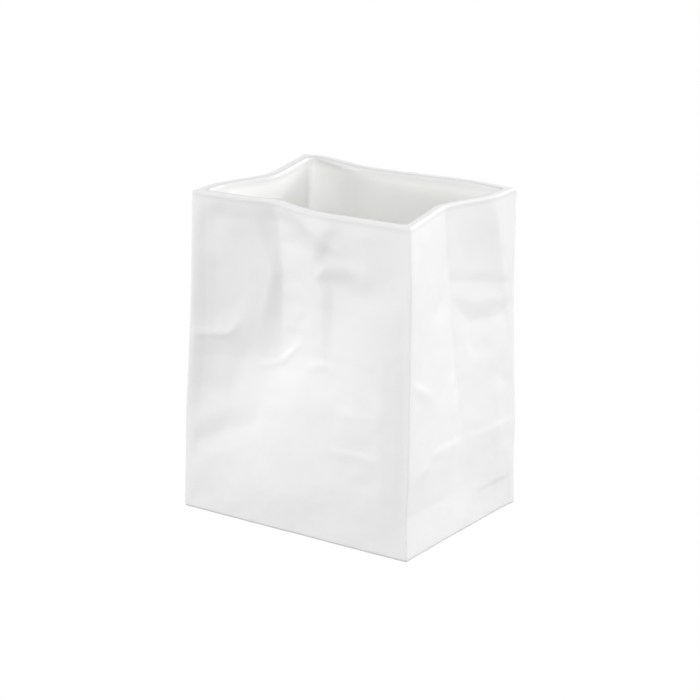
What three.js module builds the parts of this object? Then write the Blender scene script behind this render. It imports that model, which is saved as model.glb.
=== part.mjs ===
// A small porcelain vase in the shape of an open, crumpled paper bag.
// Lengths are in millimetres and +Z is up. The vase stands on z = 0 with its bounding box centred on the
// Z axis. The wide front faces -Y, and the narrow right side faces +X.
//
// Both pieces are lofts: a stack of closed rings, each a rounded rectangle whose four sides are pushed in or
// out by the folds of the paper. The body's rings run from the middle of the underside, up the outside, over
// the lip and down the inside to the middle of the floor.

import * as THREE from 'three';

// Overall sizes, between the sharp corners of the bag
const HEIGHT = 140;
const BASE_WIDTH = 114.4;
const BASE_DEPTH = 82.8;
const MOUTH_WIDTH = 108.4;
const MOUTH_DEPTH = 79.6;
// The mouth sits a little off the middle of the base, because the bag leans
const MOUTH_SHIFT_X = 1.4;
const MOUTH_SHIFT_Y = 1.0;

// Walls and edges
const WALL = 4.8;
const FLOOR = 5.2;
const CORNER_RADIUS = 1.6;
const INNER_CORNER_RADIUS = 2.5;
const LIP_OUTER_RADIUS = 1.4;
const LIP_INNER_RADIUS = 2.4;
const BASE_EDGE_RADIUS = 1.2;
const FLOOR_FILLET = 7;
const FOOT_WIDTH = 7;
const FOOT_RECESS = 1.2;

// The glaze that lines the inside
const GLAZE = 0.5;
const GLAZE_CLEARANCE = 0.3;
const GLAZE_BELOW_LIP = 3.2;

// How far from a corner, and from the base, a fold has grown to its full depth
const CORNER_STIFFNESS = 7;
const BASE_STIFFNESS = 5;

// Mesh density: columns between the corners of each side, and points on each corner
const FRONT_COLUMNS = 31;
const RIGHT_COLUMNS = 19;
const BACK_COLUMNS = 23;
const LEFT_COLUMNS = 15;
const CORNER_STEPS = 4;
const OUTER_ROWS = 36;
const INNER_ROWS = 12;
const EDGE_STEPS = 2;
const FILLET_STEPS = 3;

// Colours and finishes
const PORCELAIN = { color: 0xececec, roughness: 0.62, metalness: 0 };
const GLAZE_FINISH = { color: 0xf6f6f4, roughness: 0.22, metalness: 0 };

// How far each upright edge wanders from a straight line between base and mouth.
// Each pair is the share of the height and the drift in millimetres.
const EDGE_DRIFT = {
  frontLeft: {
    x: [[0, -0.9], [0.33, -1.15], [0.54, -0.25], [0.6, 0], [1, 0]],
    y: [[0, 0], [1, 0]],
  },
  frontRight: {
    x: [[0, -0.5], [0.13, -0.95], [0.25, 0.1], [0.6, 0.4], [0.84, 0.8], [1, -0.1]],
    y: [[0, 0], [1, 0]],
  },
  backRight: {
    x: [[0, 0], [0.4, 0.3], [0.55, 0.2], [0.7, 0.1], [1, 0.4]],
    y: [[0, 1.1], [0.16, 0.3], [0.26, 1.2], [0.5, -0.15], [0.63, -0.4], [0.83, 0.1], [1, 0.9]],
  },
  backLeft: {
    x: [[0, -0.6], [0.35, -0.9], [0.62, 0.2], [1, 0]],
    y: [[0, 0.8], [0.3, 1.0], [0.55, 0], [1, 0.6]],
  },
};

// Folds. Depth is in millimetres into the bag, so a ridge has a negative depth.
// An upright fold has rows of [height share, share across, depth, reach before, reach after].
// A level fold has rows of [share across, height share, depth, reach below, reach above].
// Shares across run counter-clockwise as seen from above, so left to right as seen from outside.
// The first upright fold of a side is its main crease, which one column of the mesh follows.
const FRONT = {
  columns: FRONT_COLUMNS,
  upright: [
    // The pinch that draws the lip in, and the sharper crease at its bottom
    [[1, 0.352, 2, 26, 13], [0.94, 0.366, 3.6, 34, 15], [0.88, 0.378, 4.4, 38, 18], [0.78, 0.384, 4.9, 40, 20],
      [0.65, 0.388, 5.2, 42, 21], [0.56, 0.386, 5.3, 42, 22], [0.5, 0.375, 5, 42, 23],
      [0.44, 0.35, 4.1, 38, 26], [0.38, 0.31, 3, 34, 30], [0.33, 0.27, 2, 28, 32], [0.27, 0.22, 1, 22, 32],
      [0.2, 0.17, 0.3, 17, 30], [0.15, 0.14, 0, 14, 28]],
    [[1, 0.352, 2.7, 11, 11], [0.93, 0.37, 2.2, 9, 11], [0.85, 0.38, 1.7, 6, 11], [0.785, 0.385, 1.9, 4, 11],
      [0.68, 0.388, 1.9, 7, 11], [0.6, 0.39, 1.5, 11, 11], [0.55, 0.39, 1, 12, 11], [0.5, 0.385, 0.5, 12, 11],
      [0.43, 0.37, 0, 12, 11]],
    // The left third is drawn in close to its own edge
    [[1, 0.1, 0, 10, 30], [0.93, 0.1, 0.6, 11, 34], [0.8, 0.1, 1, 11, 34], [0.65, 0.1, 1.5, 11, 34],
      [0.5, 0.1, 1.9, 11, 34], [0.4, 0.1, 1.2, 11, 26], [0.32, 0.1, 0.4, 11, 20], [0.26, 0.1, 0, 11, 18]],
    // The swell to the right of the pinch
    [[1, 0.6, -2.3, 16, 32], [0.9, 0.6, -1.6, 14, 30], [0.8, 0.6, -0.8, 12, 26], [0.7, 0.6, 0, 12, 24]],
    // The narrow ridge, and the hollow on its right
    [[0.85, 0.58, 0, 8, 5], [0.815, 0.584, -0.8, 9, 5], [0.74, 0.594, -0.8, 10, 5], [0.65, 0.594, -0.6, 9, 4],
      [0.56, 0.6, -0.3, 7, 4], [0.52, 0.6, 0, 6, 4]],
    [[0.84, 0.64, 0, 6, 14], [0.8, 0.64, 0.7, 6, 16], [0.74, 0.645, 0.6, 5, 16], [0.6, 0.64, 0.3, 4, 14],
      [0.52, 0.64, 0, 4, 12]],
    // The panel rolls over towards its right edge
    [[1, 0.9, -0.4, 24, 10], [0.8, 0.9, -0.7, 24, 10], [0.57, 0.89, -1.1, 26, 11], [0.4, 0.885, -1.4, 27, 12],
      [0.25, 0.89, -1, 26, 11], [0.1, 0.9, -0.5, 24, 10], [0, 0.9, 0, 24, 10]],
  ],
  level: [
    // The belly of the lower half
    [[0, 0.22, 0, 20, 36], [0.15, 0.22, -0.5, 24, 38], [0.45, 0.22, -0.9, 26, 40], [0.8, 0.23, -0.7, 26, 36],
      [1, 0.23, 0, 20, 30]],
    // The brow over the hollow, and the shallow dent between it and the right edge
    [[0.54, 0.785, 0, 4, 4], [0.57, 0.81, -0.4, 4, 4], [0.61, 0.832, -0.6, 5, 4], [0.7, 0.853, -0.6, 6, 4],
      [0.8, 0.84, -0.4, 7, 4], [0.86, 0.815, 0, 6, 4]],
    [[0.76, 0.845, 0, 12, 12], [0.82, 0.845, 0.6, 14, 13], [0.93, 0.845, 0.8, 14, 13], [1, 0.845, 0, 12, 12]],
    // The crease across the left third
    [[0, 0.556, -0.9, 22, 7], [0.1, 0.558, -0.9, 22, 8], [0.17, 0.575, -0.8, 22, 9], [0.23, 0.63, -0.5, 16, 10],
      [0.29, 0.7, 0, 10, 9]],
    // The broad fold low down on the left
    [[0.02, 0.2, 0, 8, 6], [0.06, 0.221, 0.7, 8, 7], [0.15, 0.262, 0.9, 9, 9], [0.25, 0.3, 0.6, 9, 8],
      [0.34, 0.335, 0, 8, 7]],
    // The crease from folding the bag flat, a base depth's half above the base
    [[0.6, 0.284, 0, 4, 4], [0.65, 0.289, -0.5, 4, 4], [0.8, 0.296, -0.5, 4, 4], [0.95, 0.288, 0, 4, 4]],
  ],
};

const RIGHT = {
  columns: RIGHT_COLUMNS,
  upright: [
    // The gusset, pressed in at the mouth and fading to the base
    [[1, 0.475, 8, 36, 24], [0.83, 0.485, 7.6, 38, 30], [0.6, 0.498, 5.6, 39, 36], [0.42, 0.508, 3.6, 40, 38],
      [0.28, 0.505, 2.4, 40, 38], [0, 0.5, 1.2, 40, 38]],
    // The panel rolls over towards the back
    [[0.75, 0.8, 0, 20, 12], [0.6, 0.8, -0.7, 22, 14], [0.4, 0.82, -0.9, 24, 13], [0.25, 0.84, -0.9, 24, 12],
      [0.1, 0.84, -0.4, 20, 12]],
  ],
  level: [
    // The dented band behind the gusset, and the pocket below it
    [[0.46, 0.776, 0, 6, 4], [0.5, 0.774, 0.5, 8, 5], [0.85, 0.728, 0.5, 8, 5], [0.95, 0.714, 0.2, 6, 4]],
    [[0.49, 0.718, 0, 8, 4], [0.57, 0.676, 0.5, 12, 5], [0.65, 0.634, 0.9, 17, 8], [0.83, 0.627, 0.9, 17, 7],
      [0.99, 0.654, 0.3, 10, 4]],
    // The short crease that starts at the front edge
    [[0, 0.545, -0.6, 5, 4], [0.14, 0.502, -0.7, 6, 4], [0.3, 0.452, 0, 5, 4]],
    // The crease from folding the bag flat
    [[0.21, 0.286, 0, 4, 4], [0.27, 0.288, -0.5, 4, 4], [0.48, 0.286, -0.6, 6, 4], [0.68, 0.284, -0.5, 8, 4],
      [1, 0.28, -0.5, 10, 4]],
    // The hollow over the back corner of the base
    [[0.5, 0.05, 0, 6, 8], [0.7, 0.05, 0.3, 7, 12], [0.88, 0.05, 0.6, 7, 16], [1, 0.05, 0.6, 7, 16]],
  ],
};

const BACK = {
  columns: BACK_COLUMNS,
  upright: [
    // A broad dent left of the middle, as seen from inside
    [[1, 0.655, 3.6, 34, 27], [0.8, 0.64, 4, 36, 30], [0.55, 0.6, 2.6, 38, 32], [0.34, 0.58, 0, 30, 30]],
    [[1, 0.2, -1.6, 16, 20], [0.7, 0.22, -1.2, 16, 20], [0.45, 0.26, 0, 14, 16]],
    [[1, 0.93, -2.6, 14, 6], [0.8, 0.9, -1.2, 12, 8], [0.6, 0.88, 0, 10, 8]],
  ],
  level: [
    [[0.14, 0.62, 0, 8, 8], [0.32, 0.58, -1.4, 14, 8], [0.56, 0.6, -1.1, 10, 8], [0.7, 0.64, 0, 8, 8]],
    [[0.3, 0.44, 0, 6, 6], [0.52, 0.4, -1.2, 9, 7], [0.78, 0.43, -1, 9, 7], [0.92, 0.47, 0, 6, 6]],
    [[0.08, 0.29, 0, 5, 4], [0.25, 0.294, -0.9, 8, 4], [0.58, 0.288, -0.6, 8, 4], [0.85, 0.292, 0, 6, 4]],
  ],
};

const LEFT = {
  columns: LEFT_COLUMNS,
  upright: [
    // The gusset, like the one on the right
    [[1, 0.49, 8.2, 34, 20], [0.8, 0.495, 7.4, 37, 28], [0.55, 0.5, 5, 38, 36], [0.3, 0.5, 2.6, 39, 38],
      [0, 0.5, 1.2, 39, 38]],
    [[1, 0.84, -0.9, 8, 7], [0.7, 0.82, -0.6, 8, 7], [0.5, 0.8, 0, 8, 7]],
  ],
  level: [
    [[0.1, 0.78, 0, 8, 5], [0.28, 0.76, -1.2, 10, 5], [0.48, 0.77, 0, 8, 5]],
    [[0.5, 0.64, 0, 8, 6], [0.72, 0.6, -1.2, 10, 6], [1, 0.56, -0.8, 12, 8]],
    [[0, 0.285, -0.6, 10, 6], [0.35, 0.286, -0.9, 8, 5], [0.8, 0.284, 0, 6, 4]],
  ],
};

// Value at a place along a list of rows whose first entries are the places, held flat past both ends
function alongRows(rows, place, column) {
  const rising = rows[0][0] < rows[rows.length - 1][0];
  const sorted = rising ? rows : [...rows].reverse();
  if (place <= sorted[0][0]) return sorted[0][column];
  for (let i = 1; i < sorted.length; i += 1) {
    const [low, high] = [sorted[i - 1], sorted[i]];
    if (place <= high[0]) {
      const share = (place - low[0]) / (high[0] - low[0]);
      return THREE.MathUtils.lerp(low[column], high[column], share);
    }
  }
  return sorted[sorted.length - 1][column];
}

function withinRows(rows, place) {
  const ends = [rows[0][0], rows[rows.length - 1][0]];
  return place >= Math.min(...ends) && place <= Math.max(...ends);
}

// A fold's cross-section: full depth at the crease, and straight flanks down to nothing
function foldShare(offset, reachBefore, reachAfter) {
  const reach = offset < 0 ? reachBefore : reachAfter;
  return Math.max(0, 1 - Math.abs(offset) / reach);
}

// Depth of all folds of a side at a share across and a share of the height
function foldDepth(side, across, up, sideLength) {
  let depth = 0;
  for (const rows of side.upright) {
    if (!withinRows(rows, up)) continue;
    const offset = (across - alongRows(rows, up, 1)) * sideLength;
    depth += alongRows(rows, up, 2) * foldShare(offset, alongRows(rows, up, 3), alongRows(rows, up, 4));
  }
  for (const rows of side.level) {
    if (!withinRows(rows, across)) continue;
    const offset = (up - alongRows(rows, across, 1)) * HEIGHT;
    depth += alongRows(rows, across, 2)
      * foldShare(offset, alongRows(rows, across, 3), alongRows(rows, across, 4));
  }
  const fromCorner = Math.min(across, 1 - across) * sideLength;
  const cornerFade = Math.min(1, fromCorner / CORNER_STIFFNESS);
  const baseFade = Math.min(1, (up * HEIGHT) / BASE_STIFFNESS);
  return depth * cornerFade * baseFade;
}

// The sharp corner of the bag at a share of the height
function edgeCorner(name, signX, signY, up) {
  const drift = EDGE_DRIFT[name];
  const width = THREE.MathUtils.lerp(BASE_WIDTH, MOUTH_WIDTH, up);
  const depth = THREE.MathUtils.lerp(BASE_DEPTH, MOUTH_DEPTH, up);
  return new THREE.Vector2(
    (signX * width) / 2 + MOUTH_SHIFT_X * up + alongRows(drift.x, up, 1),
    (signY * depth) / 2 + MOUTH_SHIFT_Y * up + alongRows(drift.y, up, 1),
  );
}

// Shares across at which a side's columns stand, with one column on the main crease
function columnShares(side, up) {
  const main = side.upright[0];
  const middle = main[Math.floor(main.length / 2)][1];
  const creaseColumn = Math.round(middle * (side.columns + 1));
  const crease = alongRows(main, up, 1);
  const shares = [];
  for (let column = 1; column <= side.columns; column += 1) {
    const before = (crease * column) / creaseColumn;
    const after = crease + ((1 - crease) * (column - creaseColumn)) / (side.columns + 1 - creaseColumn);
    shares.push(column <= creaseColumn ? before : after);
  }
  return shares;
}

// One closed ring: a rounded rectangle, inset from the outer face, with its sides pushed in by the folds
function ringPoints({ z, inset, radius, every }) {
  const up = THREE.MathUtils.clamp(z / HEIGHT, 0, 1);
  const corners = [
    edgeCorner('frontLeft', -1, -1, up),
    edgeCorner('frontRight', 1, -1, up),
    edgeCorner('backRight', 1, 1, up),
    edgeCorner('backLeft', -1, 1, up),
  ];
  const sides = [FRONT, RIGHT, BACK, LEFT];
  const points = [];
  corners.forEach((corner, index) => {
    const next = corners[(index + 1) % 4];
    const previous = corners[(index + 3) % 4];
    const along = next.clone().sub(corner).normalize();
    const back = previous.clone().sub(corner).normalize();
    const reach = inset + radius;
    const centre = corner.clone().addScaledVector(along, reach).addScaledVector(back, reach);
    for (let step = 0; step <= CORNER_STEPS; step += 1) {
      const angle = (step / CORNER_STEPS) * (Math.PI / 2);
      const point = centre.clone()
        .addScaledVector(along, -radius * Math.cos(angle))
        .addScaledVector(back, -radius * Math.sin(angle));
      points.push(new THREE.Vector3(point.x, point.y, z));
    }
    const side = sides[index];
    const length = corner.distanceTo(next);
    const inward = new THREE.Vector2(-along.y, along.x);
    for (const share of columnShares(side, up)) {
      const place = reach + share * (length - 2 * reach);
      const push = inset + foldDepth(side, place / length, up, length);
      const point = corner.clone().addScaledVector(along, place).addScaledVector(inward, push);
      points.push(new THREE.Vector3(point.x, point.y, z));
    }
  });
  return points.filter((_, index) => index % every === 0);
}

// Joins a stack of rings, closed at both ends by a fan. Neighbouring rings have as many points as each other,
// or one has twice as many.
function loft(rings) {
  const positions = [];
  const indices = [];
  const starts = [];
  const stack = rings.map(ringPoints);
  stack.forEach((points) => {
    starts.push(positions.length / 3);
    points.forEach((point) => positions.push(point.x, point.y, point.z));
  });
  for (let row = 0; row + 1 < stack.length; row += 1) {
    const [lowCount, highCount] = [stack[row].length, stack[row + 1].length];
    const low = (i) => starts[row] + (i % lowCount);
    const high = (i) => starts[row + 1] + (i % highCount);
    const count = Math.min(lowCount, highCount);
    // Diagonals lean the same way on every skin, so that two skins a clearance apart stay parallel
    const rising = stack[row + 1][0].z >= stack[row][0].z;
    for (let i = 0; i < count; i += 1) {
      if (lowCount === highCount && rising) {
        indices.push(low(i), low(i + 1), high(i + 1), low(i), high(i + 1), high(i));
      } else if (lowCount === highCount) {
        indices.push(low(i), low(i + 1), high(i), low(i + 1), high(i + 1), high(i));
      } else if (lowCount > highCount) {
        indices.push(low(2 * i), low(2 * i + 1), high(i));
        indices.push(low(2 * i + 1), high(i + 1), high(i));
        indices.push(low(2 * i + 1), low(2 * i + 2), high(i + 1));
      } else {
        indices.push(low(i), high(2 * i + 1), high(2 * i));
        indices.push(low(i), low(i + 1), high(2 * i + 1));
        indices.push(low(i + 1), high(2 * i + 2), high(2 * i + 1));
      }
    }
  }
  const fan = (row, facingUp) => {
    const points = stack[row];
    const centre = points.reduce((sum, point) => sum.add(point), new THREE.Vector3());
    centre.divideScalar(points.length);
    const hub = positions.length / 3;
    positions.push(centre.x, centre.y, centre.z);
    for (let i = 0; i < points.length; i += 1) {
      const [here, there] = [starts[row] + i, starts[row] + ((i + 1) % points.length)];
      indices.push(...(facingUp ? [hub, here, there] : [hub, there, here]));
    }
  };
  fan(0, false);
  fan(stack.length - 1, true);
  const geometry = new THREE.BufferGeometry();
  geometry.setAttribute('position', new THREE.Float32BufferAttribute(positions, 3));
  geometry.setIndex(indices);
  geometry.computeVertexNormals();
  return geometry;
}

// Rings of the underside: the recess, the flat foot around it and the rounded edge of the base
function undersideRings() {
  const rings = [
    { z: FOOT_RECESS, inset: FOOT_WIDTH + FOOT_RECESS, radius: CORNER_RADIUS, every: 2 },
    { z: 0, inset: FOOT_WIDTH, radius: CORNER_RADIUS, every: 2 },
  ];
  for (let step = 0; step < EDGE_STEPS; step += 1) {
    const angle = (step / EDGE_STEPS) * (Math.PI / 2);
    rings.push({
      z: BASE_EDGE_RADIUS * (1 - Math.cos(angle)),
      inset: BASE_EDGE_RADIUS * (1 - Math.sin(angle)),
      radius: CORNER_RADIUS,
      every: 1,
    });
  }
  return rings;
}

function outerWallRings() {
  const bottom = BASE_EDGE_RADIUS;
  const top = HEIGHT - LIP_OUTER_RADIUS;
  const rings = [];
  for (let row = 0; row <= OUTER_ROWS; row += 1) {
    const z = THREE.MathUtils.lerp(bottom, top, row / OUTER_ROWS);
    rings.push({ z, inset: 0, radius: CORNER_RADIUS, every: 1 });
  }
  return rings;
}

// Rings over the lip: rounded outer edge, flat top and rounded inner edge
function lipRings() {
  const rings = [];
  for (let step = 1; step <= EDGE_STEPS; step += 1) {
    const angle = (step / EDGE_STEPS) * (Math.PI / 2);
    rings.push({
      z: HEIGHT - LIP_OUTER_RADIUS * (1 - Math.sin(angle)),
      inset: LIP_OUTER_RADIUS * (1 - Math.cos(angle)),
      radius: CORNER_RADIUS,
      every: 1,
    });
  }
  for (let step = 0; step < EDGE_STEPS; step += 1) {
    const angle = (step / EDGE_STEPS) * (Math.PI / 2);
    rings.push({
      z: HEIGHT - LIP_INNER_RADIUS * (1 - Math.cos(angle)),
      inset: WALL - LIP_INNER_RADIUS * (1 - Math.sin(angle)),
      radius: INNER_CORNER_RADIUS,
      every: 2,
    });
  }
  return rings;
}

// Rings down the inside, a clearance inside the porcelain's inner face, and across the floor
function innerRings(top, clearance) {
  const inset = WALL + clearance;
  const radius = INNER_CORNER_RADIUS - clearance;
  const fillet = FLOOR_FILLET - clearance;
  const floor = FLOOR + clearance;
  const rings = [];
  for (let row = 0; row <= INNER_ROWS; row += 1) {
    const z = THREE.MathUtils.lerp(top, FLOOR + FLOOR_FILLET, row / INNER_ROWS);
    rings.push({ z, inset, radius, every: 2 });
  }
  for (let step = 1; step <= FILLET_STEPS; step += 1) {
    const angle = (step / FILLET_STEPS) * (Math.PI / 2);
    rings.push({
      z: floor + fillet * (1 - Math.sin(angle)),
      inset: inset + fillet * (1 - Math.cos(angle)),
      radius,
      every: 2,
    });
  }
  return rings;
}

function porcelainBody() {
  const rings = [
    ...undersideRings(),
    ...outerWallRings(),
    ...lipRings(),
    { z: HEIGHT - LIP_INNER_RADIUS, inset: WALL, radius: INNER_CORNER_RADIUS, every: 2 },
    ...innerRings(HEIGHT - GLAZE_BELOW_LIP, 0),
  ];
  return loft(rings);
}

// The lining is an open tray: its outer skin follows the porcelain, its inner skin is what the water touches
function innerGlaze() {
  const top = HEIGHT - GLAZE_BELOW_LIP;
  const outerSkin = innerRings(top, GLAZE_CLEARANCE).reverse();
  const innerSkin = innerRings(top, GLAZE_CLEARANCE + GLAZE);
  return loft([...outerSkin, ...innerSkin]);
}

function namedMesh(name, geometry, finish) {
  const mesh = new THREE.Mesh(geometry, new THREE.MeshStandardMaterial(finish));
  mesh.name = name;
  return mesh;
}

const vase = new THREE.Group();
vase.add(namedMesh('porcelain_body', porcelainBody(), PORCELAIN));
vase.add(namedMesh('inner_glaze', innerGlaze(), GLAZE_FINISH));

// The folds and leaning edges shift the outline, so the vase is set back over the Z axis
const middle = new THREE.Box3().setFromObject(vase).getCenter(new THREE.Vector3());
vase.position.set(-middle.x, -middle.y, 0);
vase.updateMatrixWorld(true);

export default vase;
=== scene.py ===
# A small porcelain vase in the shape of an open, crumpled paper bag, in matt white, glazed inside.
import math

import bpy
import numpy as np
from mathutils import Matrix, Vector, noise


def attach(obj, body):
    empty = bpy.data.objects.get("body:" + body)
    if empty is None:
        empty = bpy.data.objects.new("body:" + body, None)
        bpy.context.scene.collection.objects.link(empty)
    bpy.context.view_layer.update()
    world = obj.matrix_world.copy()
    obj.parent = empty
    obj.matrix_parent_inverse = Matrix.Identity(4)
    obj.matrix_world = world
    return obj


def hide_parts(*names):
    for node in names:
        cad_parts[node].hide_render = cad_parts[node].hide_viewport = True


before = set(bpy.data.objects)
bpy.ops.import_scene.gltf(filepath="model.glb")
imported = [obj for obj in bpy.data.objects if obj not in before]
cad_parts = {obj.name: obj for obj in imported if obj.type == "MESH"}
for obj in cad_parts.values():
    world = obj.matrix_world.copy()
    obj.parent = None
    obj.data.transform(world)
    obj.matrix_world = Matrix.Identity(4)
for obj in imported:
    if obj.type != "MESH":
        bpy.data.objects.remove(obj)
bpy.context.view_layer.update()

MM = 0.001

# Overall sizes in millimetres, between the sharp corners of the bag, and how far the mouth stands off the
# middle of the base
HEIGHT = 140
BASE_WIDTH = 114.4
BASE_DEPTH = 82.8
MOUTH_WIDTH = 108.4
MOUTH_DEPTH = 79.6
MOUTH_SHIFT = (1.4, 1.0)

# Walls and edges
WALL = 4.8
FLOOR = 5.2
CORNER_RADIUS = 0.8
INNER_CORNER_RADIUS = 2.4
LIP_OUTER_RADIUS = 1
LIP_INNER_RADIUS = 1.4
BASE_EDGE_RADIUS = 1.2
FLOOR_FILLET = 7
FOOT_WIDTH = 7
FOOT_RECESS = 1.2

# How thick the glaze is, how deep its back is sunk into the porcelain, and how far its face stands out of
# the porcelain on top of the lip: a little below it, so that the glaze thins out to nothing there
GLAZE = 0.35
GLAZE_SUNK = 0.15
GLAZE_EDGE = -0.06

# How far from a corner a fold has grown to its full depth, in millimetres
CORNER_STIFFNESS = 7

# Spacing of the mesh and of the grid that the folds are worked out on, in millimetres, and how many steps
# go round a corner and over an edge
COLUMN_SPACING = 0.8
ROW_SPACING = 0.8
INNER_ROW_SPACING = 2.0
GRID_SPACING = 0.5
CORNER_STEPS = 6
EDGE_STEPS = 8

# How far the clay rounds off the paper's creases, outside and inside, in millimetres, and how many times
# as far the blur reaches
CREASE_BLUR = 0.7
INNER_BLUR = 3.2
BLUR_REACH = 3

# From this share of the height up, the outside's creases soften to the inside's
SOFT_ABOVE = 0.94

# How soft, from 0 to 1, the creases are where the lip's outer edge meets its flat top
LIP_SOFTNESS = 0.5

# Tints that the porcelain's mottling and the glaze's flow go between
PORCELAIN_TINTS = [(0.83, 0.83, 0.83, 1), (0.85, 0.85, 0.852, 1)]
GLAZE_TINTS = [(0.89, 0.89, 0.877, 1), (0.905, 0.905, 0.893, 1)]

# Tints of painted light and shade on the rim, and the depths below the top of the rim between which
# each takes over, in millimetres
# Painted light: a lighter tint on the flat top of the rim
RIM_TOP_PAINTED_LIGHT = (0.87, 0.87, 0.87, 1)
RIM_TOP_PAINTED_LIGHT_BAND = (0.25, 0.03)
# Painted shade: a darker tint on the rim's rounded edges, which tones down their highlights
EDGE_PAINTED_SHADE = (0.75, 0.75, 0.75, 1)
EDGE_PAINTED_SHADE_BAND = (3, 0.6)
# Painted shade: a darker tint on the glaze over the rim's inner edge and just below it
GLAZE_TOP_PAINTED_SHADE = (0.72, 0.72, 0.72, 1)
GLAZE_TOP_PAINTED_SHADE_BAND = (4, 0.8)

# How far light spreads inside the clay, in metres for red, green and blue
SUBSURFACE_RADIUS = (0.004, 0.0038, 0.0034)

# The upright edges, in order round the bag, with the side of the middle that each is on
EDGE_SIGNS = {"front_left": (-1, -1), "front_right": (1, -1), "back_right": (1, 1), "back_left": (-1, 1)}

# How far each edge drifts from a straight line, as rows of (height share, drift in millimetres)
EDGE_DRIFT = {
    "front_left": {
        "x": [(0, -0.9), (0.33, -1.15), (0.54, -0.25), (0.6, 0), (1, 0)],
        "y": [(0, 0), (1, 0)],
    },
    "front_right": {
        "x": [(0, -0.5), (0.13, -0.95), (0.25, 0.1), (0.6, 0.4), (0.84, 0.8), (1, -0.1)],
        "y": [(0, 0), (1, 0)],
    },
    "back_right": {
        "x": [(0, 0), (0.4, 0.3), (0.55, 0.2), (0.7, 0.1), (1, 0.4)],
        "y": [(0, 1.1), (0.16, 0.3), (0.26, 1.2), (0.5, -0.15), (0.63, -0.4), (0.83, 0.1), (1, 0.9)],
    },
    "back_left": {
        "x": [(0, -0.6), (0.35, -0.9), (0.62, 0.2), (1, 0)],
        "y": [(0, 0.8), (0.3, 1.0), (0.55, 0), (1, 0.6)],
    },
}

# Sizes of the crumpling's facets and how deep they are, in millimetres
CRUMPLE = [(34, 0.3), (15, 0.17), (7, 0.07)]

# Where the crumpling starts in the noise and how far apart the sides lie there, how its creases bend and
# round off, and how noise turns into depth. The seed holds what bends them the same in each run, because
# noise vectors start from the clock without one.
CRUMPLE_START = 3.7
CRUMPLE_APART = 10
CRUMPLE_BEND = 0.4
CRUMPLE_SEED = 1
CRUMPLE_ROUNDING = 0.08
CRUMPLE_LEVEL = 0.5
CRUMPLE_GAIN = 2

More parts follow.
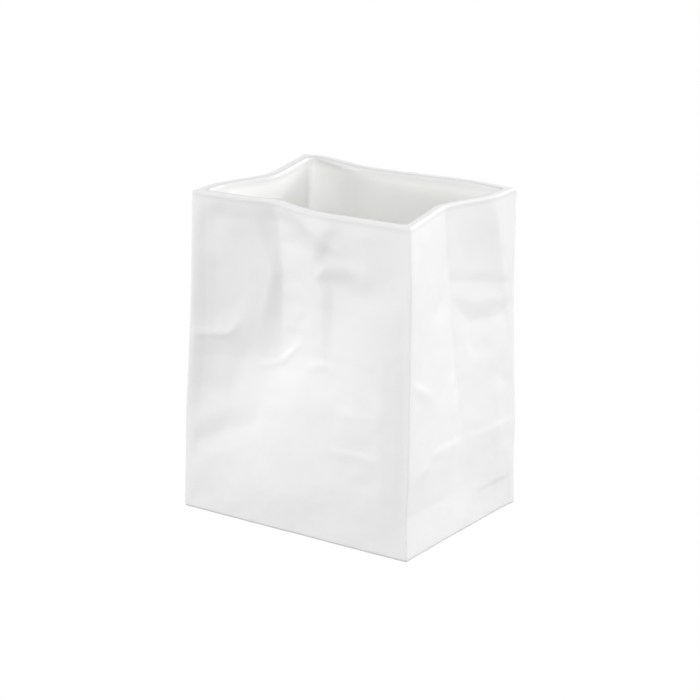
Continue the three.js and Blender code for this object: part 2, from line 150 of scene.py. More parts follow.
# Folds. Depth and reach are in millimetres, and depth goes into the bag, so a ridge has a negative one.
# An upright fold has rows of (height share, share across, depth, reach before, reach after).
# A level fold has rows of (share across, height share, depth, reach below, reach above).
# Shares across start at the side's left edge, as seen from outside. A side's rounding is how soft its
# creases are, as a share of the folds' reach.
FRONT = {
    "rounding": 0.12,
    "upright": [
        # The pinch that draws the lip in, and the sharper crease at its bottom
        [(1, 0.352, 2, 26, 13), (0.94, 0.366, 3.6, 34, 22), (0.88, 0.378, 4.3, 38, 34),
         (0.78, 0.384, 4.5, 40, 44), (0.65, 0.388, 4.9, 42, 44), (0.56, 0.386, 4.9, 42, 44),
         (0.5, 0.375, 4.6, 42, 44), (0.44, 0.35, 3.8, 38, 44), (0.38, 0.32, 3.1, 34, 44),
         (0.33, 0.3, 2.5, 30, 44), (0.27, 0.27, 1.8, 26, 42), (0.2, 0.24, 1.1, 22, 40),
         (0.12, 0.2, 0.4, 18, 36), (0.05, 0.17, 0, 14, 32)],
        [(1, 0.352, 2.7, 11, 11), (0.93, 0.37, 2.1, 9, 18), (0.85, 0.38, 1.6, 6, 26),
         (0.785, 0.385, 1.7, 3, 34), (0.75, 0.386, 1.7, 4, 36), (0.68, 0.388, 1.7, 7, 36),
         (0.6, 0.39, 1.4, 11, 34), (0.55, 0.39, 1, 12, 28), (0.5, 0.385, 0.5, 12, 18),
         (0.43, 0.37, 0, 12, 16)],
        # The left third is drawn in close to its own edge
        [(1, 0.1, 0, 10, 30), (0.93, 0.1, 0.6, 11, 34), (0.8, 0.1, 1, 11, 34), (0.65, 0.1, 1.4, 11, 34),
         (0.5, 0.1, 1.7, 11, 34), (0.4, 0.1, 1.1, 11, 26), (0.32, 0.1, 0.4, 11, 20),
         (0.26, 0.1, 0, 11, 18)],
        [(0.94, 0.22, 0, 20, 30), (0.8, 0.22, 0.4, 20, 36), (0.65, 0.22, 1, 20, 40),
         (0.52, 0.22, 1.6, 20, 40), (0.42, 0.2, 1.5, 18, 36), (0.32, 0.18, 1, 16, 32),
         (0.2, 0.17, 0.4, 16, 28), (0.1, 0.16, 0, 16, 26)],
        # The swell to the right of the pinch
        [(1, 0.6, -2.3, 16, 32), (0.9, 0.6, -1.6, 14, 30), (0.8, 0.6, -0.8, 12, 26),
         (0.7, 0.6, 0, 12, 24)],
        # The narrow ridge and the hollow behind it
        [(0.85, 0.58, 0, 8, 5), (0.815, 0.584, -0.55, 9, 5), (0.74, 0.594, -0.55, 10, 4.5),
         (0.65, 0.594, -0.4, 9, 4), (0.56, 0.6, -0.2, 7, 3), (0.52, 0.6, 0, 6, 3)],
        [(0.84, 0.64, 0, 6, 14), (0.8, 0.64, 0.38, 6, 16), (0.74, 0.645, 0.36, 5, 16),
         (0.6, 0.64, 0.2, 4, 14), (0.52, 0.64, 0, 4, 12)],
        # Faint creases under the lip
        [(0.99, 0.645, 0, 8, 5), (0.96, 0.635, -0.5, 8, 5), (0.88, 0.58, -0.6, 8, 5),
         (0.845, 0.557, -0.4, 7, 5), (0.82, 0.545, 0, 6, 4)],
        [(0.98, 0.8, 0, 6, 8), (0.95, 0.8, -0.4, 5, 9), (0.86, 0.81, -0.5, 4, 10),
         (0.8, 0.815, 0, 4, 8)],
        # The panel rolls over towards its right edge
        [(1, 0.9, -0.4, 24, 10), (0.8, 0.9, -0.7, 24, 10), (0.57, 0.89, -1.1, 26, 11),
         (0.4, 0.885, -1.4, 27, 12), (0.25, 0.89, -1, 26, 11), (0.1, 0.9, -0.5, 24, 10),
         (0, 0.9, 0, 24, 10)],
    ],
    "level": [
        # The belly of the lower half
        [(0, 0.13, 0, 16, 50), (0.15, 0.13, -0.5, 17, 52), (0.45, 0.13, -0.9, 18, 54),
         (0.8, 0.14, -0.7, 18, 50), (1, 0.14, 0, 16, 46)],
        # The lip of the pinch's pocket
        [(0.27, 0.492, 0, 2, 1.6), (0.31, 0.491, -0.25, 2, 1.6), (0.36, 0.502, -0.36, 2.2, 1.6),
         (0.405, 0.52, -0.42, 2.4, 1.6), (0.445, 0.556, -0.35, 2.4, 1.6), (0.5, 0.587, 0, 2.4, 1.6)],
        # The brow over the hollow
        [(0.54, 0.785, 0, 3, 4), (0.57, 0.81, -0.25, 4, 4), (0.61, 0.832, -0.38, 5, 4),
         (0.7, 0.853, -0.4, 6, 4), (0.8, 0.84, -0.25, 7, 4), (0.86, 0.815, 0, 6, 4)],
        # The shallow dent between the brow and the right edge
        [(0.76, 0.845, 0, 12, 12), (0.82, 0.845, 0.6, 14, 13), (0.93, 0.845, 0.8, 14, 13),
         (1, 0.845, 0, 12, 12)],
        # Small dimples beside the pinch
        [(0.4, 0.7, 0, 4, 2.4), (0.45, 0.7, 0.22, 4, 2.4), (0.5, 0.71, 0, 4, 2.4)],
        [(0.43, 0.65, 0, 4, 2.4), (0.48, 0.655, 0.24, 4, 2.4), (0.54, 0.67, 0, 4, 2.4)],
        [(0.4, 0.6, 0, 4, 2.4), (0.45, 0.605, 0.24, 4, 2.4), (0.5, 0.62, 0, 4, 2.4)],
        # The crease across the left third, with the shade below it
        [(0, 0.556, -0.9, 22, 7), (0.1, 0.558, -0.9, 22, 8), (0.17, 0.575, -0.8, 22, 9),
         (0.23, 0.63, -0.5, 16, 10), (0.29, 0.7, 0, 10, 9)],
        [(0, 0.556, -0.4, 2, 3), (0.16, 0.57, -0.4, 2, 3), (0.22, 0.62, 0, 2, 3)],
        # The broad fold low down on the left
        [(0.02, 0.2, 0, 8, 6), (0.06, 0.221, 0.7, 8, 7), (0.15, 0.262, 0.9, 9, 9),
         (0.25, 0.3, 0.6, 9, 8), (0.34, 0.335, 0, 8, 7)],
        # The flat fold of the bag's bottom, and two short creases over it
        [(0.6, 0.284, 0, 2, 2), (0.65, 0.289, -0.16, 2.6, 2), (0.8, 0.296, -0.2, 3, 2),
         (0.88, 0.292, -0.12, 3, 2), (0.95, 0.288, 0, 2, 2)],
        [(0.66, 0.41, 0, 2, 2), (0.72, 0.412, -0.14, 2.2, 2), (0.8, 0.416, -0.14, 2.2, 2),
         (0.86, 0.42, 0, 2, 2)],
        [(0.52, 0.515, 0, 2, 2), (0.56, 0.528, -0.28, 2.5, 2), (0.61, 0.54, -0.28, 2.5, 2),
         (0.67, 0.53, 0, 2, 2)],
    ],
}
RIGHT = {
    "rounding": 0.03,
    "upright": [
        # The gusset that the bag folds in along, and the sharp crease at its bottom
        [(1, 0.475, 8, 36, 24), (0.83, 0.485, 7.6, 38, 30), (0.6, 0.498, 5.6, 39, 36),
         (0.42, 0.508, 3.6, 40, 38), (0.28, 0.505, 2.4, 40, 38), (0.1, 0.5, 1.1, 40, 38),
         (0, 0.5, 0.6, 40, 38)],
        [(1, 0.478, 0.5, 2.4, 1.6), (0.8, 0.492, 0.6, 2.2, 1.4), (0.72, 0.496, 0.2, 2, 1.4),
         (0.66, 0.5, 0.3, 2, 1.6), (0.5, 0.508, 0.5, 2.4, 1.8), (0.34, 0.51, 0, 2, 2)],
        # The panel rolls over towards the back
        [(0.75, 0.8, 0, 20, 12), (0.6, 0.8, -0.7, 22, 14), (0.4, 0.82, -0.9, 24, 13),
         (0.25, 0.84, -0.9, 24, 12), (0.1, 0.84, -0.4, 20, 12)],
    ],
    "level": [
        # The dented band behind the gusset
        [(0.46, 0.776, 0, 8, 4), (0.5, 0.774, 0.28, 10, 4), (0.85, 0.728, 0.32, 10, 4),
         (0.95, 0.714, 0.15, 8, 4)],
        # The pocket below it, which ends in a V
        [(0.49, 0.718, 0, 8, 2), (0.57, 0.676, 0.5, 12, 5), (0.65, 0.634, 0.9, 17, 8),
         (0.83, 0.627, 0.85, 17, 7), (0.99, 0.654, 0.3, 10, 3)],
        # The crease across the front flank, and the dent between it and the gusset
        [(0, 0.545, -0.35, 5, 2.4), (0.14, 0.502, -0.42, 6, 2.2), (0.3, 0.452, 0, 5, 2)],
        [(0.24, 0.71, 0, 6, 6), (0.34, 0.72, 0.35, 7, 7), (0.46, 0.735, 0.3, 6, 8),
         (0.49, 0.74, 0, 5, 6)],
        # The flat fold of the bag's bottom
        [(0.21, 0.286, 0, 2, 1.8), (0.27, 0.288, -0.24, 4, 1.8), (0.48, 0.286, -0.3, 6, 1.8),
         (0.56, 0.285, -0.16, 6, 2), (0.68, 0.284, -0.24, 8, 2), (1, 0.28, -0.24, 10, 2.4)],
        # The hollow over the back corner of the base
        [(0.5, 0.01, 0, 6, 8), (0.7, 0.01, 0.3, 7, 14), (0.88, 0.01, 0.6, 7, 18),
         (1, 0.01, 0.6, 7, 18)],
    ],
}
BACK = {
    "rounding": 0.08,
    "upright": [
        # The hollow that draws the lip in, and the swells on both sides of it
        [(1, 0.655, 3.6, 34, 27), (0.8, 0.64, 4, 36, 30), (0.55, 0.6, 2.6, 38, 32),
         (0.34, 0.58, 0, 30, 30)],
        [(1, 0.2, -1.6, 16, 20), (0.7, 0.22, -1.2, 16, 20), (0.45, 0.26, 0, 14, 16)],
        [(1, 0.93, -2.6, 25, 6), (0.8, 0.91, -1.4, 25, 8), (0.6, 0.89, 0, 22, 8)],
    ],
    "level": [
        # Two ridges across the hollow
        [(0.14, 0.62, 0, 8, 8), (0.32, 0.58, -1.4, 14, 8), (0.56, 0.6, -1.1, 10, 8),
         (0.7, 0.64, 0, 8, 8)],
        [(0.3, 0.44, 0, 6, 6), (0.52, 0.4, -1.2, 9, 7), (0.78, 0.43, -1, 9, 7), (0.92, 0.47, 0, 6, 6)],
        # The flat fold of the bag's bottom
        [(0.08, 0.29, 0, 5, 4), (0.25, 0.294, -0.9, 8, 4), (0.58, 0.288, -0.6, 8, 4),
         (0.85, 0.292, 0, 6, 4)],
    ],
}
LEFT = {
    "rounding": 0.15,
    "upright": [
        # The gusset that the bag folds in along
        [(1, 0.49, 8.2, 34, 20), (0.8, 0.495, 7.4, 37, 28), (0.55, 0.5, 5, 38, 36),
         (0.3, 0.5, 2.6, 39, 38), (0.1, 0.5, 1.1, 39, 38), (0, 0.5, 0.6, 39, 38)],
        # The ridge beside the front edge
        [(1, 0.84, -0.9, 8, 7), (0.7, 0.82, -0.6, 8, 7), (0.5, 0.8, 0, 8, 7)],
    ],
    "level": [
        # A ridge on each flank of the gusset
        [(0.1, 0.78, 0, 8, 5), (0.28, 0.76, -1.2, 10, 5), (0.48, 0.77, 0, 8, 5)],
        [(0.5, 0.64, 0, 8, 6), (0.72, 0.6, -1.2, 10, 6), (1, 0.56, -0.8, 12, 8)],
        # The flat fold of the bag's bottom
        [(0, 0.285, -0.6, 10, 6), (0.35, 0.286, -0.9, 8, 5), (0.8, 0.284, 0, 6, 4)],
    ],
}
SIDES = [FRONT, RIGHT, BACK, LEFT]
SIDE_LENGTHS = [BASE_WIDTH, BASE_DEPTH, BASE_WIDTH, BASE_DEPTH]

# The camera that took the photograph, fitted to the bag's corners: millimetres in the bag's own frame
CAMERA_AZIMUTH = 34.587
CAMERA_ELEVATION = 17.657
CAMERA_DISTANCE = 1101.64
CAMERA_TARGET = (0.067, 0.046, 69.96)
CAMERA_LENS = 133.98
CAMERA_CLIP = (0.05, 20)
SENSOR = 36.0

# Soft lights in metres and watts: name, azimuth with 0 in front of the vase, elevation, size, power
LIGHT_DISTANCE = 2.6
LIGHT_TARGET = (0, 0, 0.07)
LIGHTS = [
    ("left_softbox", -62, 5, (1.4, 0.4), 39),
    ("front_softbox", 27, 34, (1.4, 1.4), 30),
    ("corner_softbox", 48, 8, (1.4, 0.8), 7),
    ("side_softbox", 95, 22, (1.4, 1.4), 19),
    ("right_softbox", 148, 15, (1.4, 1.4), 31),
    ("back_softbox", 180, 16, (1.4, 1.4), 26),
]
WORLD_STRENGTH = 0.425

# Half the width of the studio's floor, and how far its two layers lie below the foot, in metres
FLOOR_REACH = 14.0
TABLE_DROP = 0.0002
FLOOR_DROP = 0.0006

# Sockets of a Mix node that mixes colours
MIX_SHARE = 0
MIX_FIRST = 6
MIX_SECOND = 7
MIX_RESULT = 2

WHITE = (1, 1, 1, 1)
BLACK = (0, 0, 0, 1)


def along_rows(rows, place, column):
    """Value at each place along rows whose first entries are the places, held flat past both ends."""
    table = np.array(sorted(rows), float)
    return np.interp(place, table[:, 0], table[:, column])


def within_rows(rows, place):
    """Whether each place lies between the first and the last of the rows."""
    ends = [row[0] for row in rows]
    return (place >= min(ends)) & (place <= max(ends))


def fold_share(offset, reach_before, reach_after, rounding):
    """A fold's cross-section: full depth at the crease and flanks that run out softly to nothing."""
    distance = np.abs(offset) / np.where(offset < 0, reach_before, reach_after)
    share = 1 + rounding - np.sqrt(distance ** 2 + rounding ** 2)
    return (share + np.sqrt(share ** 2 + rounding ** 2)) / 2


def fold_depth(rows, along, athwart, length, rounding):
    """Depth of one fold, for arrays of shares along it and athwart it, over a side of that length."""
    columns = range(1, len(rows[0]))
    crease, depth, reach_before, reach_after = [along_rows(rows, along, column) for column in columns]
    share = fold_share((athwart - crease) * length, reach_before, reach_after, rounding)
    return within_rows(rows, along) * depth * share


def folds_depth(side, across, up, length):
    """Depth of all folds of a side, for arrays of shares across and up."""
    across, up = np.broadcast_arrays(across, up)
    depth = np.zeros(across.shape)
    for rows in side["upright"]:
        depth += fold_depth(rows, up, across, length, side["rounding"])
    for rows in side["level"]:
        depth += fold_depth(rows, across, up, HEIGHT, side["rounding"])
    return depth


def crumple(index, across, height):
    """Fine creases and dimples of the crumpled paper, as a depth for arrays of millimetres on a side."""
    def depth_at(x, y):
        depth = 0
        for size, amount in CRUMPLE:
            spot = Vector((x / size, y / size, CRUMPLE_START + CRUMPLE_APART * index))
            bent = spot + CRUMPLE_BEND * noise.noise_vector(spot)
            crease = math.hypot(noise.noise(bent), CRUMPLE_ROUNDING)
            depth += amount * (CRUMPLE_LEVEL - CRUMPLE_GAIN * crease)
        return depth

    return np.vectorize(depth_at)(across, height)


def blurred(field, sigma):
    """Gaussian blur of a field on the grid, up and across, with its edges held."""
    reach = int(math.ceil(BLUR_REACH * sigma))
    offsets = np.arange(-reach, reach + 1)
    weights = np.exp(-0.5 * (offsets / sigma) ** 2)
    weights /= weights.sum()
    for axis in (0, 1):
        places = np.arange(field.shape[axis])
        last = field.shape[axis] - 1
        field = sum(weight * np.take(field, np.clip(places + offset, 0, last), axis)
                    for offset, weight in zip(offsets, weights))
    return field


def eased(share):
    """A share that leaves 0 and reaches 1 without a kink."""
    share = np.clip(share, 0, 1)
    return share * share * (3 - 2 * share)


def depth_grids(index):
    """Depth of a side on an even grid, once with the outside's sharp creases and once with soft ones."""
    length = SIDE_LENGTHS[index]
    across = np.linspace(0, 1, round(length / GRID_SPACING) + 1)[None, :]
    up = np.linspace(0, 1, round(HEIGHT / GRID_SPACING) + 1)[:, None]
    depth = folds_depth(SIDES[index], across, up, length) + crumple(index, across * length, up * HEIGHT)
    sharp, soft = [blurred(depth, blur / GRID_SPACING) for blur in (CREASE_BLUR, INNER_BLUR)]
    sharp += (soft - sharp) * eased((up - SOFT_ABOVE) / (1 - SOFT_ABOVE))
    return sharp, soft


def on_grid(grid, across, up):
    """Values of a grid between its points, for arrays of shares across and up."""
    row = np.clip(up, 0, 1) * (grid.shape[0] - 1)
    column = np.clip(across, 0, 1) * (grid.shape[1] - 1)
    low_row = np.minimum(row.astype(int), grid.shape[0] - 2)
    low_column = np.minimum(column.astype(int), grid.shape[1] - 2)
    row_share, column_share = row - low_row, column - low_column

    def along_row(at):
        return grid[at, low_column] * (1 - column_share) + grid[at, low_column + 1] * column_share

    low, high = along_row(low_row), along_row(low_row + 1)
    return low + (high - low) * row_share


def edge_corner(name, up):
    """The sharp corner of the bag at each share of the height, as an array of points in plan."""
    sign_x, sign_y = EDGE_SIGNS[name]
    width = BASE_WIDTH + (MOUTH_WIDTH - BASE_WIDTH) * up
    depth = BASE_DEPTH + (MOUTH_DEPTH - BASE_DEPTH) * up
    drift_x = along_rows(EDGE_DRIFT[name]["x"], up, 1)
    drift_y = along_rows(EDGE_DRIFT[name]["y"], up, 1)
    x = sign_x * width / 2 + MOUTH_SHIFT[0] * up + drift_x
    y = sign_y * depth / 2 + MOUTH_SHIFT[1] * up + drift_y
    return np.stack([x, y], -1)


def unit(vectors):
    return vectors / np.linalg.norm(vectors, axis=-1, keepdims=True)


def depth_along(index, place, length, up, softness):
    """Depth of a side at distances from its first corner, grown from nothing at both corners."""
    sharp, soft = DEPTH_GRIDS[index]
    across = place / length
    depth = on_grid(sharp, across, up) * (1 - softness) + on_grid(soft, across, up) * softness
    return depth * eased(np.minimum(place, length - place) / CORNER_STIFFNESS)


def skin(rows):
    """Points of a stack of closed rings. Rows are (z, inset from the outer face, corner radius, softness),
    and the softness goes from 0, the outside's sharp creases, to 1, the inside's soft ones."""
    z, inset, radius, softness = (np.array(values, float)[:, None] for values in zip(*rows))
    up = np.clip(z / HEIGHT, 0, 1)
    reach = inset + radius
    sides = range(len(SIDES))
    corners = [edge_corner(name, up[:, 0]) for name in EDGE_SIGNS]
    spans = [corners[(index + 1) % len(SIDES)] - corners[index] for index in sides]
    lengths = [np.linalg.norm(span, axis=1)[:, None] for span in spans]
    directions = [unit(span)[:, None, :] for span in spans]
    inwards = [np.stack([-direction[..., 1], direction[..., 0]], -1) for direction in directions]
    starts = [depth_along(index, reach, lengths[index], up, softness) for index in sides]
    ends = [depth_along(index, lengths[index] - reach, lengths[index], up, softness) for index in sides]
    plan = []
    for index in sides:
        # A corner moves in with the folds of both its sides, so that the wall keeps its thickness there
        corner, along, back = corners[index][:, None, :], directions[index], -directions[index - 1]
        pushed = inwards[index] * starts[index][:, :, None]
        pushed_before = inwards[index - 1] * ends[index - 1][:, :, None]
        centre = corner + (along + back) * reach[:, :, None] + pushed + pushed_before
        angle = np.linspace(0, math.pi / 2, CORNER_STEPS + 1)[None, :, None]
        plan.append(centre - radius[:, :, None] * (along * np.cos(angle) + back * np.sin(angle)))
        # The side's columns lie evenly between its two corners
        columns = round(SIDE_LENGTHS[index] / COLUMN_SPACING)
        share = (np.arange(1, columns + 1) / (columns + 1))[None, :]
        first = reach + ends[index - 1]
        last = lengths[index] - reach - starts[(index + 1) % len(SIDES)]
        place = first + share * (last - first)
        depth = depth_along(index, place, lengths[index], up, softness)
        plan.append(corner + along * place[:, :, None] + inwards[index] * (inset + depth)[:, :, None])
    plan = np.concatenate(plan, 1)
    height = np.broadcast_to(z[:, :, None], plan.shape[:2] + (1,))
    return np.concatenate([plan, height], -1)


def arc(count, start=0):
    """Angles from nothing to a quarter turn."""
    return [math.pi / 2 * step / count for step in range(start, count + 1)]


def steps_between(low, high, spacing):
    """Even steps from one value to another, both included, with about the given spacing."""
    count = max(1, round(abs(high - low) / spacing))
    return [low + (high - low) * step / count for step in range(count + 1)]


def base_rows():
    """Rings from the underside's recess over the flat foot and round the outer edge of the base."""
    rows = [(FOOT_RECESS, FOOT_WIDTH + FOOT_RECESS, CORNER_RADIUS, 0), (0, FOOT_WIDTH, CORNER_RADIUS, 0)]
    for angle in arc(EDGE_STEPS):
        z = BASE_EDGE_RADIUS * (1 - math.cos(angle))
        rows.append((z, BASE_EDGE_RADIUS * (1 - math.sin(angle)), CORNER_RADIUS, 0))
    return rows


def outer_lip_rows():
    """Rings over the lip's outer edge, where the creases begin to soften."""
    rows = []
    for step, angle in enumerate(arc(EDGE_STEPS)):
        z = HEIGHT - LIP_OUTER_RADIUS * (1 - math.sin(angle))
        inset = LIP_OUTER_RADIUS * (1 - math.cos(angle))
        rows.append((z, inset, CORNER_RADIUS, LIP_SOFTNESS * step / EDGE_STEPS))
    return rows


def inner_lip_rows(start, end):
    """Rings over the lip's inner edge, with a clearance that eases from its start to its end."""
    rows = []
    for step, angle in enumerate(arc(EDGE_STEPS)):
        share = step / EDGE_STEPS
        clearance = start + (end - start) * share * (2 - share)
        reach = LIP_INNER_RADIUS + clearance
        z = HEIGHT - LIP_INNER_RADIUS + reach * math.cos(angle)
        inset = WALL - LIP_INNER_RADIUS + reach * math.sin(angle)
        rows.append((z, inset, INNER_CORNER_RADIUS - clearance, 1))
    return rows


def inner_wall_rows(clearance):
    """Rings down the inside and into the fillet of the floor, a clearance inside the porcelain."""
    fillet = FLOOR_FILLET - clearance
    radius = INNER_CORNER_RADIUS - clearance
    heights = steps_between(HEIGHT - LIP_INNER_RADIUS, FLOOR + FLOOR_FILLET, INNER_ROW_SPACING)[1:]
    rows = [(z, WALL + clearance, radius, 1) for z in heights]
    for angle in arc(EDGE_STEPS, 1):
        z = FLOOR + clearance + fillet * (1 - math.sin(angle))
        rows.append((z, WALL + clearance + fillet * (1 - math.cos(angle)), radius, 1))
    return rows


def closed_mesh(name, rings):
    """One closed mesh from a stack of rings, closed at both ends by a fan."""
    count, around = rings.shape[:2]
    points = rings.reshape(-1, 3).tolist()
    faces = []
    for row in range(count - 1):
        for column in range(around):
            following = (column + 1) % around
            low, high = row * around, (row + 1) * around
            faces.append((low + column, low + following, high + following, high + column))
    for row, facing_up in ((0, False), (count - 1, True)):
        hub = len(points)
        points.append(rings[row].mean(0).tolist())
        for column in range(around):
            here, there = row * around + column, row * around + (column + 1) % around
            faces.append((hub, here, there) if facing_up else (hub, there, here))
    mesh = bpy.data.meshes.new(name)
    mesh.from_pydata(points, [], faces)
    mesh.shade_smooth()
    mesh.update()
    return mesh


def add_object(name, mesh):
    thing = bpy.data.objects.new(name, mesh)
    bpy.context.scene.collection.objects.link(thing)
    return thing


def porcelain_rings():
    """The whole shell, from the underside up the outside, over the lip and down the inside."""
    wall = steps_between(BASE_EDGE_RADIUS, HEIGHT - LIP_OUTER_RADIUS, ROW_SPACING)[1:-1]
    rows = base_rows() + [(z, 0, CORNER_RADIUS, 0) for z in wall]
    return skin(rows + outer_lip_rows() + inner_lip_rows(0, 0) + inner_wall_rows(0))


def glaze_rings():
    """The lining, from the floor up its back, which is sunk into the porcelain, and down its face."""
    back = inner_lip_rows(-GLAZE_SUNK, -GLAZE_SUNK) + inner_wall_rows(-GLAZE_SUNK)
    face = inner_lip_rows(GLAZE_EDGE, GLAZE) + inner_wall_rows(GLAZE)
    return skin(back[::-1] + face)


def principled(name):
    """A new material and its shader."""
    material = bpy.data.materials.new(name)
    material.use_nodes = True
    return material, material.node_tree.nodes["Principled BSDF"]


def noise_pattern(tree, place, scale, detail):
    pattern = tree.nodes.new("ShaderNodeTexNoise")
    pattern.inputs["Scale"].default_value = scale
    pattern.inputs["Detail"].default_value = detail
    tree.links.new(place.outputs["Object"], pattern.inputs["Vector"])
    return pattern.outputs["Fac"]


def mixed_tint(tree, share, tints):
    """A colour between two tints, by a pattern's share."""
    blend = tree.nodes.new("ShaderNodeMix")
    blend.data_type = "RGBA"
    blend.inputs[MIX_FIRST].default_value = tints[0]
    blend.inputs[MIX_SECOND].default_value = tints[1]
    tree.links.new(share, blend.inputs[MIX_SHARE])
    return blend.outputs[MIX_RESULT]


def paint_rim_light_and_shade(tree, place, band, colour, tint):
    """A colour that gives way to a tint between two depths below the top of the rim, in millimetres; the
    tints it is given are painted light and painted shade.
    """
    start, end = band
    height = tree.nodes.new("ShaderNodeSeparateXYZ")
    tree.links.new(place.outputs["Object"], height.inputs["Vector"])
    share = tree.nodes.new("ShaderNodeMapRange")
    share.inputs["From Min"].default_value = (HEIGHT - start) * MM
    share.inputs["From Max"].default_value = (HEIGHT - end) * MM
    tree.links.new(height.outputs["Z"], share.inputs["Value"])
    blend = tree.nodes.new("ShaderNodeMix")
    blend.data_type = "RGBA"
    blend.inputs[MIX_SECOND].default_value = tint
    tree.links.new(share.outputs["Result"], blend.inputs[MIX_SHARE])
    tree.links.new(colour, blend.inputs[MIX_FIRST])
    return blend.outputs[MIX_RESULT]


def add_bump(tree, shader, pattern, strength, distance):
    bump = tree.nodes.new("ShaderNodeBump")
    bump.inputs["Strength"].default_value = strength
    bump.inputs["Distance"].default_value = distance
    tree.links.new(pattern, bump.inputs["Height"])
    tree.links.new(bump.outputs["Normal"], shader.inputs["Normal"])


def porcelain_material():
    """Matt, faintly mottled porcelain with a fine grain, with painted shade on the rim's rounded edges
    and painted light on its flat top.
    """
    material, shader = principled("matt_porcelain")
    shader.inputs["Roughness"].default_value = 0.6
    shader.inputs["Specular IOR Level"].default_value = 0.35
    shader.inputs["Subsurface Weight"].default_value = 0.12
    shader.inputs["Subsurface Radius"].default_value = SUBSURFACE_RADIUS
    shader.inputs["Subsurface Scale"].default_value = 1.0
    tree = material.node_tree
    place = tree.nodes.new("ShaderNodeTexCoord")
    mottle = noise_pattern(tree, place, scale=60, detail=3)
    colour = mixed_tint(tree, mottle, PORCELAIN_TINTS)
    # Painted shade on the rim's rounded edges, then painted light on its flat top
    colour = paint_rim_light_and_shade(tree, place, EDGE_PAINTED_SHADE_BAND, colour, EDGE_PAINTED_SHADE)
    colour = paint_rim_light_and_shade(tree, place, RIM_TOP_PAINTED_LIGHT_BAND, colour, RIM_TOP_PAINTED_LIGHT)
    tree.links.new(colour, shader.inputs["Base Color"])
    grain = noise_pattern(tree, place, scale=1400, detail=2)
    add_bump(tree, shader, grain, strength=0.08, distance=0.0002)
    return material


def glaze_material():
    """A slightly warm, satin glaze whose surface flows a little, with painted shade on its top under the
    rim.
    """
    material, shader = principled("clear_glaze")
    shader.inputs["Roughness"].default_value = 0.45
    shader.inputs["Specular IOR Level"].default_value = 0.25
    shader.inputs["Subsurface Weight"].default_value = 0.1
    shader.inputs["Subsurface Radius"].default_value = SUBSURFACE_RADIUS
    tree = material.node_tree
    place = tree.nodes.new("ShaderNodeTexCoord")
    flow = noise_pattern(tree, place, scale=35, detail=2)
    colour = mixed_tint(tree, flow, GLAZE_TINTS)
    # Painted shade on the top of the glaze under the rim, which tones down its highlights
    colour = paint_rim_light_and_shade(tree, place, GLAZE_TOP_PAINTED_SHADE_BAND, colour, GLAZE_TOP_PAINTED_SHADE)
    tree.links.new(colour, shader.inputs["Base Color"])
    add_bump(tree, shader, flow, strength=0.05, distance=0.0005)
    return material


def view_axes(azimuth, elevation):
    """Right, up and back of a camera or light that looks at the vase; azimuth 0 is in front of it."""
    turn, rise = math.radians(azimuth), math.radians(elevation)
    back = Vector((math.sin(turn) * math.cos(rise), -math.cos(turn) * math.cos(rise), math.sin(rise)))
    right = Vector((math.cos(turn), math.sin(turn), 0))
    return right, back.cross(right), back


def placed(place, axes):
    return Matrix.Translation(place) @ Matrix(axes).transposed().to_4x4()


def add_camera(shift):
    """The photograph's camera, moved with the vase."""
    axes = view_axes(CAMERA_AZIMUTH, CAMERA_ELEVATION)
    data = bpy.data.cameras.new("camera")
    data.lens = CAMERA_LENS
    data.sensor_width = SENSOR
    data.clip_start, data.clip_end = CAMERA_CLIP
    camera = add_object("camera", data)
    camera.matrix_world = placed((Vector(CAMERA_TARGET) + axes[2] * CAMERA_DISTANCE + shift) * MM, axes)
    bpy.context.scene.camera = camera


def add_soft_light(name, azimuth, elevation, size, power):
    """A rectangular area light that looks at the middle of the vase."""
    axes = view_axes(azimuth, elevation)
    data = bpy.data.lights.new(name, "AREA")
    data.shape = "RECTANGLE"
    data.size, data.size_y = size
    data.energy = power
    light = add_object(name, data)
    light.matrix_world = placed(Vector(LIGHT_TARGET) + axes[2] * LIGHT_DISTANCE, axes)


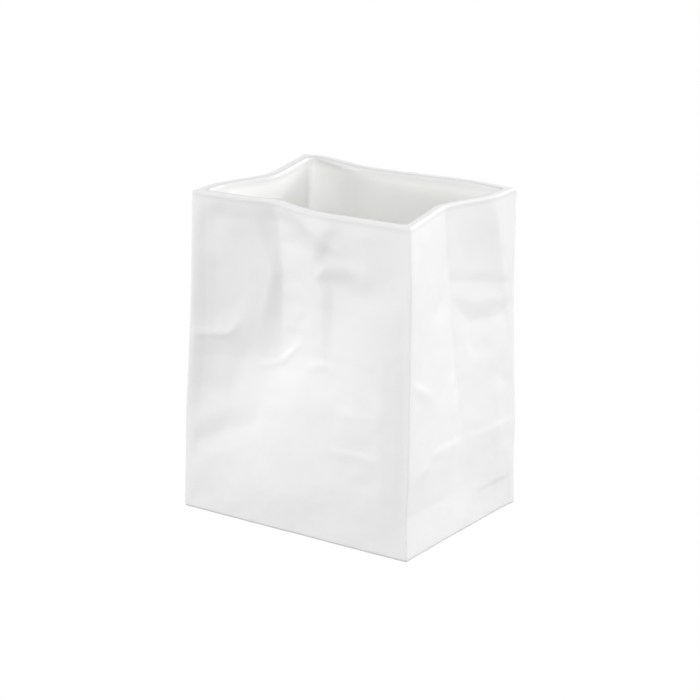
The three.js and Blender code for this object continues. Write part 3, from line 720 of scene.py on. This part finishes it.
def plain_square(name, height, material):
    """A flat square of the stage."""
    mesh = bpy.data.meshes.new(name)
    corners = [(-FLOOR_REACH, -FLOOR_REACH, height), (FLOOR_REACH, -FLOOR_REACH, height),
               (FLOOR_REACH, FLOOR_REACH, height), (-FLOOR_REACH, FLOOR_REACH, height)]
    mesh.from_pydata(corners, [], [(0, 1, 2, 3)])
    mesh.materials.append(material)
    square = add_object(name, mesh)
    return square


def add_floor():
    """A dim table that only the light meets, over the plain white floor that only the camera sees."""
    material, shader = principled("dim_table")
    shader.inputs["Base Color"].default_value = (0.05, 0.05, 0.05, 1)
    shader.inputs["Roughness"].default_value = 0.8
    shader.inputs["Emission Color"].default_value = WHITE
    shader.inputs["Emission Strength"].default_value = 0.12
    table = plain_square("table", -TABLE_DROP, material)
    table.visible_camera = False
    material, shader = principled("white_floor")
    shader.inputs["Base Color"].default_value = BLACK
    shader.inputs["Specular IOR Level"].default_value = 0
    shader.inputs["Emission Color"].default_value = WHITE
    shader.inputs["Emission Strength"].default_value = 1
    floor = plain_square("floor", -FLOOR_DROP, material)
    floor.visible_diffuse = False
    floor.visible_glossy = False
    floor.visible_transmission = False
    floor.visible_shadow = False


noise.seed_set(CRUMPLE_SEED)
DEPTH_GRIDS = [depth_grids(index) for index in range(len(SIDES))]

# The vase: folds and leaning edges shift the outline, so it is set back over the Z axis, as the frame is
porcelain = porcelain_rings()
middle = (porcelain.reshape(-1, 3).max(0) + porcelain.reshape(-1, 3).min(0)) / 2
shift = Vector((-middle[0], -middle[1], 0))
offset = np.array(shift)
body = add_object("porcelain_shell", closed_mesh("porcelain_shell", (porcelain + offset) * MM))
body.data.materials.append(porcelain_material())
glaze = add_object("glaze_lining", closed_mesh("glaze_lining", (glaze_rings() + offset) * MM))
glaze.data.materials.append(glaze_material())
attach(body, "root")
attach(glaze, "root")
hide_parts("porcelain_body")
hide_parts("inner_glaze")

# The studio
add_floor()
add_camera(shift)
for light in LIGHTS:
    add_soft_light(*light)
world = bpy.data.worlds.new("studio")
world.use_nodes = True
world.node_tree.nodes["Background"].inputs["Color"].default_value = WHITE
world.node_tree.nodes["Background"].inputs["Strength"].default_value = WORLD_STRENGTH
bpy.context.scene.world = world
bpy.context.scene.view_settings.view_transform = "Standard"
